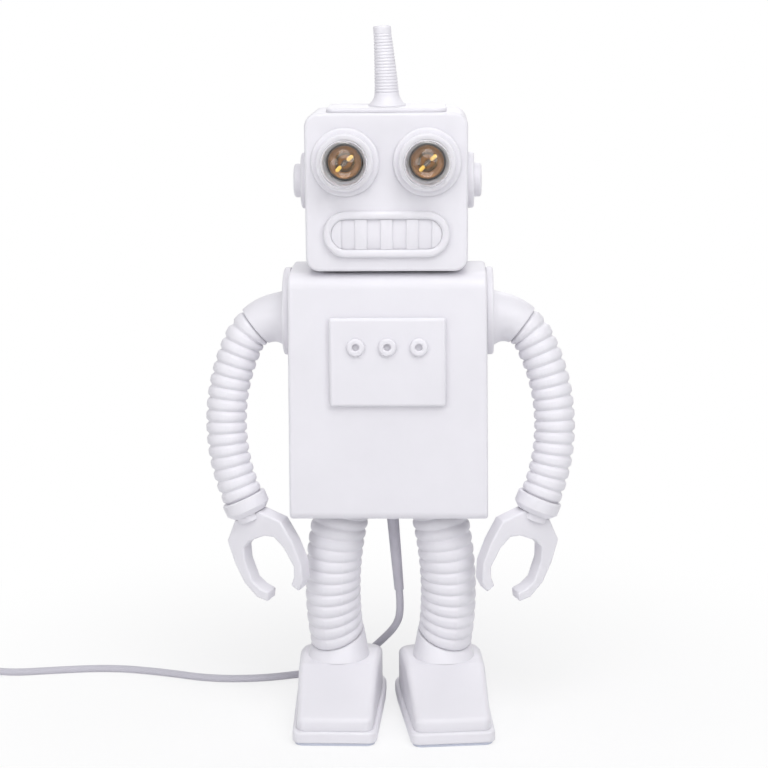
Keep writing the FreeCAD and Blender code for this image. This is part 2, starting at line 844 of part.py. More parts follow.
def arm_point(side, length):
    """Place and heading of the arm's centreline, length past the shoulder plate's face."""
    start = mm.shoulder_thick
    if length <= mm.arm_start:
        return start + length, -mm.arm_drop, 0.0
    bend, elbow = elbow_turn(side)
    turn = min((length - mm.arm_start) / mm.elbow_radius, bend)
    x = start + mm.arm_start + mm.elbow_radius * math.sin(turn)
    z = -mm.arm_drop - mm.elbow_radius * (1 - math.cos(turn))
    rest = length - elbow
    if rest <= 0:
        return x, z, turn
    more = bend + min(rest / mm.forearm_radius, math.radians(mm.forearm_turn))
    x += mm.forearm_radius * (math.sin(more) - math.sin(bend))
    z -= mm.forearm_radius * (math.cos(bend) - math.cos(more))
    past = rest - mm.forearm_radius * math.radians(mm.forearm_turn)
    if past > 0:
        x += past * math.cos(more)
        z -= past * math.sin(more)
    return x, z, more


def arm_ring(side, length, radius):
    x, z, turn = arm_point(side, length)
    normal = Vector(side * math.cos(turn), 0, -math.sin(turn))
    return ring_at(Vector(side * x, 0, z), normal, radius, Vector(0, 1, 0))


RIB = ((0.03, 0), (0.27, 1), (0.73, 1), (0.97, 0))


def rib_rings(ring, start, length, ribs, valley, crest):
    """Four circles for each rib, between plain ends."""
    pitch = length / ribs
    rings = [ring(start, valley)]
    for index in range(ribs):
        for share, up in RIB:
            rings.append(ring(start + pitch * (index + share), crest if up else valley))
    return rings + [ring(start + length, valley)]


def arm(side, name):
    frame = shoulder_frame(side)
    plate = new_body("ShoulderPlate")
    disc(plate, cell.shoulder_radius, 0, cell.shoulder_thick)
    rounded(plate, at_top(mm.shoulder_thick), 1.8)
    drop = cell.arm_drop * side
    bore(plate, cell.arm_bolt_radius + cell.fit, 0, cell.shoulder_thick, [(drop, 0)])
    plate.Placement = frame.multiply(Placement(Vector(), to_side(side)))
    keep(plate, f"{name}_shoulder_plate")

    _, elbow = elbow_turn(side)
    stub_end = elbow * mm.stub_share
    steps = 7
    rings = []
    for step in range(steps + 1):
        share = step / steps
        radius = mm.arm_base_radius + (mm.stub_end_radius - mm.arm_base_radius) * share ** 0.6
        rings.append(arm_ring(side, stub_end * share, radius))
    stub = loft(rings)
    bolt_axis = Vector(side, 0, 0)
    bolt_start = Vector(side * mm.shoulder_thick, 0, -mm.arm_drop)
    hole = Part.makeCylinder(mm.arm_bolt_radius + mm.fit, mm.arm_bolt_depth + 0.5, bolt_start, bolt_axis)
    keep(shaped("UpperArm", stub.cut(hole), frame), f"{name}_upper_arm")

    def ring(length, radius):
        return arm_ring(side, length, radius)

    wrist = elbow + mm.forearm_radius * math.radians(mm.forearm_turn)
    hose = wrist - stub_end
    ribs = int(mm.arm_ribs)
    outer = loft(rib_rings(ring, stub_end, hose, ribs, mm.arm_valley, mm.arm_crest))
    inner = loft([ring(stub_end + hose * step / ribs, mm.arm_bore) for step in range(ribs + 1)])
    keep(shaped("ArmHose", outer.cut(inner), frame), f"{name}_arm_hose")

    end = wrist + mm.cuff_length
    narrow = mm.cuff_radius - mm.cuff_chamfer
    cuff = loft([ring(wrist, mm.cuff_radius - 0.6), ring(wrist + 0.8, mm.cuff_radius),
                 ring(end - mm.cuff_chamfer, mm.cuff_radius), ring(end, narrow)])
    boss = loft([ring(end, mm.boss_radius), ring(end + mm.boss_length, mm.boss_radius)])
    x, z, turn = arm_point(side, end + mm.boss_length - mm.claw_sink)
    down = Vector(side * math.cos(turn), 0, -math.sin(turn))
    along = Rotation(Vector(), Vector(0, 1, 0), -down, "ZYX")
    along = along.multiply(Rotation(Vector(0, 0, 1), mm.claw_turn * side))
    seat = Placement(Vector(side * x, 0, z), along)
    wide, thick = 3 * mm.boss_radius, mm.claw_thick + 2 * mm.fit
    slot = Part.makeBox(wide, thick, mm.claw_length, Vector(-wide / 2, -thick / 2, -mm.claw_length))
    slot.Placement = seat
    keep(shaped("WristCuff", cuff.fuse(boss).removeSplitter().cut(slot), frame), f"{name}_wrist_cuff")

    claw(name, frame.multiply(seat))


# Half of the claw's outline from the wrist down, as shares of half its width and of its length.
CLAW_HALF = [
    (0.41, 0), (0.92, 0.19), (1, 0.46), (0.98, 0.71), (0.8, 0.91), (0.53, 1), (0.39, 0.91),
    (0.58, 0.83), (0.71, 0.72), (0.66, 0.48), (0.51, 0.33), (0.25, 0.28),
]


def claw(name, seat):
    half, length = cell.claw_width / 2, -cell.claw_length
    points = [(half * x, length * z) for x, z in CLAW_HALF]
    points += [(-x, z) for x, z in reversed(points)]
    body = new_body("Claw")
    sketch = sketch_on(body, "XZ_Plane")
    draw_outline(sketch, points)
    pad(body, sketch, cell.claw_thick, midplane=True)
    face = mm.claw_thick / 2
    rounded(body, lambda b: b.YLength < 0.02 and near(abs(b.YMin), face), cell.claw_round)
    body.Placement = seat
    keep(body, f"{name}_claw")


def arm_bolts():
    bolts = []
    inner = torso_side(cell.shoulder_z).value - mm.torso_top_width / 2 + mm.wall + mm.fit
    for side in SIDES.values():
        reach = inner + cell.shoulder_thick + cell.arm_bolt_depth - 0.5
        one = screw(5, 4, cell.arm_bolt_radius, reach)
        at = Placement(Vector(-side * inner, 0, -mm.arm_drop), to_side(side))
        one.Placement = shoulder_frame(side).multiply(at)
        bolts.append(one)
    group("arm_bolts", bolts)


# Legs. A leg bows out and forward, and its lowest ribs lean further than its centreline does.


def leg_ring(side, share, radius):
    """A circle round the leg, from share 0 at the ankle to share 1 at the hip."""
    bow = 4 * share * (1 - share)
    hip_z = mm.torso_bottom - mm.hip_cuff
    rise = hip_z - ankle_z.value
    x = mm.ankle_x + (mm.hip_x - mm.ankle_x) * share + mm.leg_bow_out * bow
    y = mm.ankle_y + (mm.hip_y - mm.ankle_y) * share - mm.leg_bow_front * bow
    bend = 4 * (1 - 2 * share)
    slope_x = (mm.hip_x - mm.ankle_x + mm.leg_bow_out * bend) / rise
    slope_y = (mm.hip_y - mm.ankle_y - mm.leg_bow_front * bend) / rise
    low = (1 - share) ** 2
    lean_x = math.atan(slope_x) + math.radians(mm.ankle_twist_out) * low
    lean_y = math.atan(slope_y) - math.radians(mm.ankle_twist_front) * low
    normal = Vector(side * math.tan(lean_x), math.tan(lean_y), 1).normalize()
    centre = Vector(side * x, y, ankle_z.value + rise * share)
    return ring_at(centre, normal, radius, Vector(1, 0, 0))


def leg(side, name):
    def ring(share, radius):
        return leg_ring(side, share, radius)

    def level(x, y, z, radius):
        return ring_at(Vector(side * x, y, z), Vector(0, 0, 1), radius, Vector(1, 0, 0))

    ribs = int(mm.leg_ribs)
    hose = loft(rib_rings(ring, 0, 1, ribs, mm.leg_valley, mm.leg_crest))
    hip = [ring(1, mm.leg_crest), level(mm.hip_x, mm.hip_y, mm.torso_bottom, mm.leg_crest)]
    inner = [ring(step / ribs, mm.leg_bore) for step in range(ribs + 1)]
    inner.append(level(mm.hip_x, mm.hip_y, mm.torso_bottom, mm.leg_bore))
    shape = hose.fuse(loft(hip)).cut(loft(inner))
    keep(shaped("LegHose", shape), f"{name}_leg_hose")

    seat_x, seat_y = (mm.ankle_x + mm.rod_x) / 2, (mm.ankle_y + mm.rod_y) / 2 - 3
    collar = loft([level(seat_x, seat_y, foot_top.value, mm.collar_radius),
                   ring(0, mm.leg_crest + 0.4)])
    bore_shape = loft([level(seat_x, seat_y, foot_top.value, mm.leg_bore), ring(0, mm.leg_bore)])
    keep(shaped("AnkleCollar", collar.cut(bore_shape)), f"{name}_ankle_collar")


def foot_outline(inset):
    """The sole's outline drawn in by an inset, from the toe's left corner round."""
    toe, heel = cell.sole_toe_width / 2 - inset, cell.sole_heel_width / 2 - inset
    front, back = -cell.sole_toe + inset, cell.sole_heel - inset
    return [(-toe, front), (toe, front), (heel, 6), (heel, back), (-heel, back), (-heel, 6)]


def foot_corners(body):
    """Rounds the toe's and the heel's upright corners."""
    rounded(body, lambda b: upright(b) and b.YMin < -20, cell.sole_round)
    rounded(body, lambda b: upright(b) and b.YMin > 20, cell.heel_round)


def foot(side, name, toe_out):
    turn = Rotation(Vector(0, 0, 1), toe_out * side)
    x = cell.rod_x * side
    hole = cell.rod_radius + cell.fit

    pad_body = new_body("FootPad")
    sketch = sketch_on(pad_body)
    draw_outline(sketch, foot_outline(cell.pad_inset))
    pad(pad_body, sketch, cell.pad_thick)
    foot_corners(pad_body)
    place(pad_body, x, cell.rod_y, 0, turn)

    sole = new_body("Sole")
    sketch = sketch_on(sole)
    draw_outline(sketch, foot_outline(of(0)))
    pad(sole, sketch, cell.sole_thick)
    foot_corners(sole)
    thick = mm.sole_thick
    rounded(sole, at_top(thick), 2)
    rounded(sole, at_top(0), 1)
    bore(sole, hole, 0, cell.sole_thick)
    bore(sole, cell.rod_nut_radius + 0.6, 0, cell.rod_nut_height + 0.5)
    keep(place(sole, x, cell.rod_y, cell.pad_thick, turn), f"{name}_foot_sole")

    upper = new_body("FootUpper")
    sketch = sketch_on(upper)
    draw_outline(sketch, foot_outline(cell.ledge))
    pad(upper, sketch, cell.foot_height)
    foot_corners(upper)
    toe, heel, tall = -cell.sole_toe + cell.ledge, cell.sole_heel - cell.ledge, cell.foot_height
    above = tall + 20
    sketch = sketch_on(upper, "YZ_Plane")
    draw_outline(sketch, [(toe - 20, cell.toe_cap), (toe, cell.toe_cap), (-cell.instep_y, tall),
                          (0, tall + 10), (toe - 20, above)])
    pocket(upper, sketch, cell.sole_heel_width * 2, midplane=True)
    sketch = sketch_on(upper, "YZ_Plane")
    draw_outline(sketch, [(heel - cell.heel_slope, tall), (heel, cell.heel_top), (heel + 20, cell.heel_top),
                          (heel + 20, above), (heel - cell.heel_slope, above)])
    pocket(upper, sketch, cell.sole_heel_width * 2, midplane=True)
    low = mm.toe_cap - 0.1
    rounded(upper, lambda b: b.ZMin > low and not upright(b) and b.Center.z > low,
            cell.upper_round)
    bore(upper, hole, 0, cell.foot_height)
    keep(place(upper, x, cell.rod_y, cell.pad_thick + cell.sole_thick, turn),
         f"{name}_foot_upper")
    return pad_body


def leg_rods():
    pieces = []
    low = cell.pad_thick + 0.3
    high = cell.torso_bottom + cell.plate_thick
    for side in SIDES.values():
        x = cell.rod_x * side
        rod = doc.addObject("Part::Cylinder", "Rod")
        bind(rod, "Radius", cell.rod_radius)
        bind(rod, "Height", high + cell.rod_nut_height + 2 - low)
        pieces.append(place(rod, x, cell.rod_y, low))
        under = cell.pad_thick + 0.5
        for z in (under, high):
            one = nut(cell.rod_nut_radius, cell.rod_nut_height, cell.rod_radius + 0.05)
            pieces.append(place(one, x, cell.rod_y, z))
    group("leg_rods", pieces)


# Supply cord and what is on it


def tube_path(points, name):
    """Straight runs joined by tangent arcs, each as large as its two runs allow."""
    edges, radii = [], []
    last = points[0]
    for before, corner, after in zip(points, points[1:], points[2:]):
        into, out = corner - before, after - corner
        run = min(into.Length, out.Length)
        into.normalize()
        out.normalize()
        turn = into.getAngle(out)
        radius = 0.45 * run / math.tan(turn / 2)
        reach = 0.45 * run
        start, end = corner - into * reach, corner + out * reach
        inward = (out - into).normalize()
        centre = corner + inward * (radius / math.cos(turn / 2))
        edges.append(Part.LineSegment(last, start).toShape())
        edges.append(Part.Arc(start, centre - inward * radius, end).toShape())
        radii.append(round(radius, 1))
        last = end
    edges.append(Part.LineSegment(last, points[-1]).toShape())
    print(f"{name}: radii {radii}, length {sum(e.Length for e in edges):.1f}")
    return Part.Wire(edges)


def tube(path, radius, name):
    """A round tube along a path, with its volume compared with section times length."""
    first = path.OrderedEdges[0]
    start = first.valueAt(first.FirstParameter)
    heading = first.tangentAt(first.FirstParameter)
    profile = Part.Wire([Part.makeCircle(radius, start, heading)])
    shell = Part.BRepOffsetAPI.MakePipeShell(path)
    shell.add(profile)
    shell.build()
    shell.makeSolid()
    shape = shell.shape()
    expected = math.pi * radius ** 2 * path.Length
    if abs(shape.Volume / expected - 1) > 0.01:
        raise ValueError(f"{name} has volume {shape.Volume:.0f}, not {expected:.0f}")
    return shape


relief_axis = Vector(mm.relief_lean_x, mm.relief_lean_y, 0)
relief_axis.z = -math.sqrt(mm.relief_length ** 2 - relief_axis.x ** 2 - relief_axis.y ** 2)
relief_top = Vector(mm.exit_x, mm.exit_y, mm.torso_bottom - mm.gland_drop)
relief_end = relief_top + relief_axis
floor_z = mm.cord / 2
coil_y = 34.5
switch_y = coil_y + mm.coil_outer
switch_mid = mm.switch_height / 2
switch_near = mm.switch_x + mm.switch_length / 2
switch_far = mm.switch_x - mm.switch_length / 2

# The cord's free route, from the strain relief's tip to the switch on it.
CORD_ROUTE = [
    relief_end,
    relief_end + relief_axis * 0.28,
    Vector(4, 40.5, 58.5),
    Vector(-7.5, 55.5, 41),
    Vector(-24, 70, 21.5),
    Vector(-46, 80.5, 4.5),
    Vector(-74, 77, floor_z),
    Vector(-108, 65.5, floor_z),
    Vector(-150, 64.5, floor_z),
    Vector(-190, 79, floor_z),
    Vector(-235, 89, floor_z),
    Vector(-280, 83, floor_z),
    Vector(-318, switch_y + 0.6, floor_z),
    Vector(-340, switch_y, switch_mid),
    Vector(switch_near, switch_y, switch_mid),
]


def cord_pieces():
    radius = mm.cord / 2
    keep(shaped("CordRun", tube(tube_path(CORD_ROUTE, "cord_run"), radius, "cord_run")), "cord_run")
    start = mm.coil_x + 2 * mm.cord
    link = [Vector(switch_far, switch_y, switch_mid), Vector(switch_far - 8, switch_y, switch_mid),
            Vector(start + 8, switch_y, floor_z), Vector(start, switch_y, floor_z)]
    keep(shaped("CordLink", tube(tube_path(link, "cord_link"), radius, "cord_link")), "cord_link")


def coil_path():
    """Half turns that spiral in, a climb of one layer, and half turns that spiral out again."""
    pitch, high = mm.coil_pitch, floor_z + mm.coil_pitch
    here = Vector(mm.coil_x + mm.cord * 2, switch_y, floor_z)
    edges = []

    def straight(length, way):
        nonlocal here
        there = here + Vector(length * way, 0, 0)
        edges.append(Part.LineSegment(here, there).toShape())
        here = there

    def half_turn(radius, way):
        nonlocal here
        middle = here + Vector(radius * way, radius * way, 0)
        there = here + Vector(0, 2 * radius * way, 0)
        edges.append(Part.Arc(here, middle, there).toShape())
        here = there

    straight(mm.cord * 2, -1)
    way = -1
    count = int(mm.coil_half_turns)
    radii = [mm.coil_outer - pitch / 2 * index for index in range(count)]
    for radius in radii:
        half_turn(radius, way)
        way = -way
    radius = radii[-1] - pitch / 2
    there = here + Vector(0, 2 * radius * way, pitch)
    reach = (there - here).Length / 2
    heading = Vector(way, 0, 0)
    first, second = here + heading * reach, there + heading * reach
    middle = (first + second) * 0.5
    for a, corner, b in ((here, first, middle), (middle, second, there)):
        into, out = (corner - a).normalize(), (b - corner).normalize()
        turn = into.getAngle(out)
        bend = (corner - a).Length / math.tan(turn / 2)
        inward = (out - into).normalize()
        centre = corner + inward * (bend / math.cos(turn / 2))
        edges.append(Part.Arc(a, centre - inward * bend, b).toShape())
    here = Vector(there.x, there.y, high)
    way = -way
    for radius in reversed(radii):
        half_turn(radius, way)
        way = -way
    straight(mm.coil_tail, way)
    return Part.Wire(edges), here, way


def self_gap(path, radius):
    """The least gap between a tube's surface and itself further along."""
    points = path.discretize(Distance=2.0)
    apart = int(12 * radius / 2.0)
    least = min(
        points[i].distanceToPoint(points[j])
        for i in range(len(points))
        for j in range(i + apart, len(points))
    )
    return least - 2 * radius


def coil_and_plug():
    path, end, way = coil_path()
    gap = self_gap(path, mm.cord / 2)
    print(f"cord_coil: length {path.Length:.1f}, least gap to itself {gap:.2f}")
    keep(shaped("CordCoil", tube(path, mm.cord / 2, "cord_coil")), "cord_coil")

    turn = Rotation(Vector(0, 1, 0), 90 * way)
    width, height = cell.plug_height, cell.plug_width
    body = new_body("Plug")
    sketch = sketch_on(body, "XY_Plane", cell.plug_nose)
    draw_box(sketch, width, height)
    pad(body, sketch, cell.plug_length)
    rounded(body, upright, 5)
    rounded(body, at_top(mm.plug_nose), 3)
    disc(body, cell.cord / 2 + 1.6, 0, cell.plug_nose)
    body.Placement = Placement(end, turn)
    keep(body, "plug_body")
    pins = []
    for row in (-1, 1):
        one = new_body("Pin")
        disc(one, cell.pin_radius, 0, cell.pin_length)
        rounded(one, at_top(mm.pin_length), 1.6)
        along = Vector(0, row * mm.pin_pitch / 2, mm.plug_nose + mm.plug_length)
        one.Placement = Placement(end + turn.multVec(along), turn)
        pins.append(one)
    group("plug_pins", pins)


def switch():
    """A rocker switch on the cord, split at mid height, with its rocker on a crosswise hinge."""
    half = cell.switch_height / 2
    walls = cell.switch_wall * 2
    room = cell.rocker_length + 2.4
    pivot_z = 0.8
    trunnion = 1.4
    for name, flip in (("switch_base", True), ("switch_cover", False)):
        body = block("SwitchHalf", cell.switch_length, cell.switch_width, half, 6, 2)
        sketch = sketch_on(body)
        draw_box(sketch, room, cell.switch_width - walls)
        pocket(body, sketch, half - cell.switch_wall, backwards=True)
        if not flip:
            sketch = sketch_on(body, "XY_Plane", half - cell.switch_wall)
            draw_box(sketch, room, cell.rocker_width + 0.8)
            pocket(body, sketch, cell.switch_wall, backwards=True)
        turn = Rotation(Vector(1, 0, 0), 180) if flip else Rotation()
        keep(place(body, cell.switch_x, switch_y, half, turn), name)

    rocker = new_body("Rocker")
    sketch = sketch_on(rocker, "XZ_Plane")
    reach = cell.rocker_length / 2
    top = half - pivot_z
    draw_outline(sketch, [(-reach, 0.6), (0, -3.5), (reach, 0.6), (reach, top + 1.3),
                          (0, top + 0.3), (-reach, top + 1.3)])
    pad(rocker, sketch, cell.rocker_width, midplane=True)
    sketch = sketch_on(rocker, "XZ_Plane")
    draw_circle(sketch, trunnion)
    pad(rocker, sketch, cell.switch_width - walls - 0.4, midplane=True)
    rest = Rotation(Vector(0, 1, 0), -mm.rocker_turn / 2)
    rocker.Placement = Placement(Vector(mm.switch_x, switch_y, switch_mid + pivot_z), rest)
    keep(rocker, "switch_rocker")


def gland_and_relief():
    gland = new_body("CordGland")
    disc(gland, cell.gland_radius, -cell.gland_drop, cell.gland_drop)
    rounded(gland, at_top(-mm.gland_drop), 2)
    disc(gland, cell.cord / 2 + 2, 0, cell.plate_thick + 5)
    keep(place(gland, cell.exit_x, cell.exit_y, cell.torso_bottom), "cord_gland")
    down = Vector(relief_axis).normalize()
    rings = []
    for share, radius in ((0, mm.relief_radius), (0.4, mm.relief_radius - 0.3), (1, mm.relief_tip)):
        lean = min(1, share * 2.5)
        normal = (Vector(0, 0, -1) * (1 - lean) + down * lean).normalize()
        rings.append(ring_at(relief_top + relief_axis * share, normal, radius, Vector(1, 0, 0)))
    keep(shaped("StrainRelief", loft(rings)), "strain_relief")


def wiring():
    block_x, block_y, block_z = mm.exit_x, 44.4, mm.torso_bottom + 50
    width, deep, tall = 34, 12, 16
    terminal = doc.addObject("Part::Box", "Terminal")
    bind(terminal, "Length", width)
    bind(terminal, "Width", deep)
    bind(terminal, "Height", tall)
    back = cell.body_y + cell.body_depth / 2 - cell.wall - deep
    keep(place(terminal, cell.exit_x - width / 2, back, cell.torso_bottom + 50), "terminal_block")

    start = mm.torso_bottom + mm.plate_thick + 5
    supply = [Vector(block_x, mm.exit_y, start), Vector(block_x, mm.exit_y, start + 12),
              Vector(block_x, block_y, start + 28), Vector(block_x, block_y, block_z)]
    leads = [shaped("Lead", tube(tube_path(supply, "supply lead"), 2.6, "supply lead"))]
    neck_z = mm.torso_bottom + mm.torso_height - 14
    eye_z = head_top.value - mm.eye_drop
    back_of_holder = front_y.value + mm.holder_length
    for side in SIDES.values():
        x, eye_x = 1.5 * side, mm.eye_spread / 2 * side
        route = [Vector(block_x + 8 * side, block_y, block_z + tall),
                 Vector(block_x + 8 * side, block_y, block_z + tall + 30),
                 Vector(x, mm.body_y, neck_z - 30),
                 Vector(x, mm.body_y, neck_z + 42), Vector(6 * side, 26, neck_z + 66),
                 Vector(eye_x - 4 * side, 34, eye_z - 8), Vector(eye_x, 30, eye_z),
                 Vector(eye_x, back_of_holder, eye_z)]
        leads.append(shaped("Lead", tube(tube_path(route, "head lead"), 1.1, "head lead")))
    group("inner_wires", leads)


torso_shell()
base_plate()
case_screws()
chest()
head_shell()
neck()
lid()
antenna()
mouth()
pads = []
for name, side in SIDES.items():
    eye(side, name)
    ear(side, name)
    arm(side, name)
    leg(side, name)
    pads.append(foot(side, name, mm.left_toe_out if side < 0 else mm.right_toe_out))
group("foot_pads", pads)
arm_bolts()
leg_rods()
gland_and_relief()
wiring()
cord_pieces()
coil_and_plug()
switch()

doc.recompute()
failed = [o.Name for o in doc.Objects if {"Invalid", "Error"} & set(o.State)]
if failed:
    raise SystemExit(f"failed objects: {failed}")
for name, made in nodes.items():
    if made.Shape.isNull() or not made.Shape.isValid() or not made.Shape.Solids:
        raise SystemExit(f"{name} has no valid shape")

os.makedirs("parts", exist_ok=True)
for name, made in nodes.items():
    made.Shape.exportStep(f"parts/{name}.step")
print(len(nodes), "pieces")
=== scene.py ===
import json
import math

import bmesh
import bpy
from mathutils import Matrix, Vector

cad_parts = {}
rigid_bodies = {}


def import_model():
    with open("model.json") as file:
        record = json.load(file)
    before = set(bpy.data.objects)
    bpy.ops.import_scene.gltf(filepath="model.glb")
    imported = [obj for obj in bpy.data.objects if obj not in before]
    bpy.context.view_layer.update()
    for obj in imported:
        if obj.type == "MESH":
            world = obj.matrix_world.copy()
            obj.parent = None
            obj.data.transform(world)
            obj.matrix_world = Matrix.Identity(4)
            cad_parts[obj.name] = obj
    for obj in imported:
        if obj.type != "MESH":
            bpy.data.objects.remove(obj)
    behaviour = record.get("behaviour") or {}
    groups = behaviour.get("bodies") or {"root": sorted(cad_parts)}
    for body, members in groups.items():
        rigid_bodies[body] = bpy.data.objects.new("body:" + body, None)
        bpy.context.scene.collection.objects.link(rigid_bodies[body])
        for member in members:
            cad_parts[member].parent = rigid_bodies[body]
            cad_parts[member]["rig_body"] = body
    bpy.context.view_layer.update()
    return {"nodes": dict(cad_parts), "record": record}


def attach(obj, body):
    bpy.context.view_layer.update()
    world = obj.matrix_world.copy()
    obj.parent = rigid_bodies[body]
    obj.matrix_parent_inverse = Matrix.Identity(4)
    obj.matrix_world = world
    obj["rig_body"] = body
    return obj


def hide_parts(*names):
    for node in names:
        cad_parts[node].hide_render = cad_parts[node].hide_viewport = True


# A white desk lamp in the shape of a toy robot. Metres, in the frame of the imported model: the robot
# stands on z = 0 and looks along -Y.

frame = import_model()
scene = bpy.context.scene
scene.view_settings.view_transform = "Standard"

SIDES = {"left": -1, "right": 1}

# Camera
BODY_Y = 0.014
CAMERA_REACH = 1.35
CAMERA_HEIGHT = 0.542
CAMERA_AIM_X = -0.004
CAMERA_TURN = math.radians(1.8)
CAMERA_ROLL = math.radians(0.45)
CAMERA_TILT = math.radians(11.8)


def add_camera():
    turn, tilt, roll = CAMERA_TURN, CAMERA_TILT, CAMERA_ROLL
    place = Vector((CAMERA_AIM_X + CAMERA_REACH * math.sin(turn),
                    BODY_Y - CAMERA_REACH * math.cos(turn), CAMERA_HEIGHT))
    look = Vector((-math.sin(turn) * math.cos(tilt), math.cos(turn) * math.cos(tilt),
                   -math.sin(tilt)))
    level = Vector((math.cos(turn), math.sin(turn), 0))
    above = level.cross(look)
    right = level * math.cos(roll) - above * math.sin(roll)
    up = level * math.sin(roll) + above * math.cos(roll)
    data = bpy.data.cameras.new("camera")
    data.lens, data.sensor_width = 85, 36
    camera = bpy.data.objects.new("camera", data)
    scene.collection.objects.link(camera)
    axes = Matrix((right, up, -look)).transposed().to_4x4()
    camera.matrix_world = Matrix.Translation(place) @ axes
    scene.camera = camera


# Supply cord
CORD = 0.006
RELIEF_END = Vector((0.0062, 0.031, 0.09107))
SWITCH_Y, SWITCH_Z = 0.0755, 0.0065
SWITCH_NEAR, SWITCH_FAR = -0.36, -0.416
COIL_X = -0.462
COIL_PITCH = 0.0065
COIL_RADII = [0.041 - COIL_PITCH / 2 * turn for turn in range(5)]
PLUG_START = -0.438

CORD_ROUTE = [
    RELIEF_END,
    (0.00746, 0.03296, 0.074),
    (0.004, 0.0405, 0.0585),
    (-0.0075, 0.0555, 0.041),
    (-0.024, 0.07, 0.0215),
    (-0.046, 0.0805, 0.0045),
    (-0.074, 0.077, 0.003),
    (-0.108, 0.0655, 0.003),
    (-0.15, 0.0645, 0.003),
    (-0.19, 0.079, 0.003),
    (-0.235, 0.089, 0.003),
    (-0.28, 0.083, 0.003),
    (-0.318, 0.0761, 0.003),
    (-0.34, SWITCH_Y, SWITCH_Z),
    (SWITCH_NEAR, SWITCH_Y, SWITCH_Z),
    (SWITCH_FAR, SWITCH_Y, SWITCH_Z),
    (SWITCH_FAR - 0.008, SWITCH_Y, SWITCH_Z),
    (-0.442, SWITCH_Y, 0.003),
    (-0.45, SWITCH_Y, 0.003),
]


def coil_points():
    """Half turns that spiral in on the table, a climb, and half turns that spiral out on top."""
    steps = 8
    swell = 1 / math.cos(math.pi / steps / 2)
    y, way, points = SWITCH_Y, -1, []
    climb = COIL_RADII[-1] - COIL_PITCH / 2
    low, high = CORD / 2, CORD / 2 + COIL_PITCH
    turns = [(radius, low, low) for radius in COIL_RADII] + [(climb, low, high)]
    turns += [(radius, high, high) for radius in reversed(COIL_RADII)]
    for radius, start_z, end_z in turns:
        middle = y + radius * way
        for step in range(steps):
            share = (step + 0.5) / steps
            angle = math.pi * share
            points.append((COIL_X + way * radius * swell * math.sin(angle),
                           middle - way * radius * swell * math.cos(angle),
                           start_z + (end_z - start_z) * share))
        y += 2 * radius * way
        way = -way
    points.append((COIL_X + 0.012 * way, y, high))
    points.append((PLUG_START, y, high))
    return points


def add_cord():
    data = bpy.data.curves.new("supply_cord", "CURVE")
    data.dimensions = "3D"
    spline = data.splines.new("NURBS")
    points = [Vector(point) for point in CORD_ROUTE + coil_points()]
    spline.points.add(len(points) - 1)
    for point, place in zip(spline.points, points):
        point.co = (*place, 1)
        point.radius = CORD / 2
    spline.order_u = 3
    spline.use_endpoint_u = True
    spline.resolution_u = 6
    data.bevel_depth = 1
    data.bevel_resolution = 5
    data.use_fill_caps = True
    cord = bpy.data.objects.new("supply_cord", data)
    scene.collection.objects.link(cord)
    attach(cord, "lamp")
    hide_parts("cord_run", "cord_link", "cord_coil")
    return cord


# Materials


def combine(nodes, links, operation, first, second):
    """A math node's result for two values, each a socket or a number."""
    made = nodes.new("ShaderNodeMath")
    made.operation = operation
    for socket, value in zip(made.inputs, (first, second)):
        if isinstance(value, bpy.types.NodeSocket):
            links.new(value, socket)
        else:
            socket.default_value = value
    return made.outputs[0]


class Finish:
    """A material's node tree: a colour, a roughness and patterns on Object coordinates."""

    def __init__(self, name, color, roughness, metallic=0.0, **sockets):
        self.material = bpy.data.materials.new(name)
        self.material.use_nodes = True
        tree = self.material.node_tree
        self.nodes, self.links = tree.nodes, tree.links
        self.shader = self.nodes["Principled BSDF"]
        self.set(self.shader, {"Base Color": (*color, 1), "Roughness": roughness,
                               "Metallic": metallic})
        self.set(self.shader, sockets)
        self.place = self.nodes.new("ShaderNodeTexCoord").outputs["Object"]
        self.bumps = None

    def set(self, node, values):
        for name, value in values.items():
            if isinstance(value, bpy.types.NodeSocket):
                self.links.new(value, node.inputs[name])
            else:
                node.inputs[name].default_value = value

    def node(self, kind, **values):
        made = self.nodes.new("ShaderNode" + kind)
        self.set(made, values)
        return made

    def noise(self, scale, detail=3.0, stretch=None):
        """A cloud pattern with features of about 1 / scale metres."""
        where = self.place
        if stretch:
            mapping = self.node("Mapping", Vector=where)
            mapping.inputs["Scale"].default_value = stretch
            where = mapping.outputs["Vector"]
        return self.node("TexNoise", Vector=where, Scale=scale, Detail=detail).outputs["Fac"]

    def spread(self, value, low, high, start=0.3, end=0.7):
        """Maps a pattern from start..end to low..high."""
        made = self.node("MapRange", Value=value)
        self.set(made, {"From Min": start, "From Max": end, "To Min": low, "To Max": high})
        return made.outputs["Result"]

    def mottle(self, value, darker, amount):
        """Mixes the base colour towards a second colour where the pattern is high."""
        mix = self.nodes.new("ShaderNodeMix")
        mix.data_type = "RGBA"
        self.links.new(self.spread(value, 0, amount), mix.inputs["Factor"])
        self.feed_color(mix.inputs[6])
        mix.inputs[7].default_value = (*darker, 1)
        self.links.new(mix.outputs[2], self.shader.inputs["Base Color"])

    def feed_color(self, socket):
        now = self.shader.inputs["Base Color"]
        if now.links:
            self.links.new(now.links[0].from_socket, socket)
        else:
            socket.default_value = now.default_value

    def rough(self, value, low, high):
        self.links.new(self.spread(value, low, high), self.shader.inputs["Roughness"])

    def bump(self, value, height, strength=1.0):
        """Raises the surface by a pattern, height in metres."""
        made = self.node("Bump", Height=value, Strength=strength, Distance=height)
        if self.bumps:
            self.links.new(self.bumps, made.inputs["Normal"])
        self.bumps = made.outputs["Normal"]
        self.links.new(self.bumps, self.shader.inputs["Normal"])


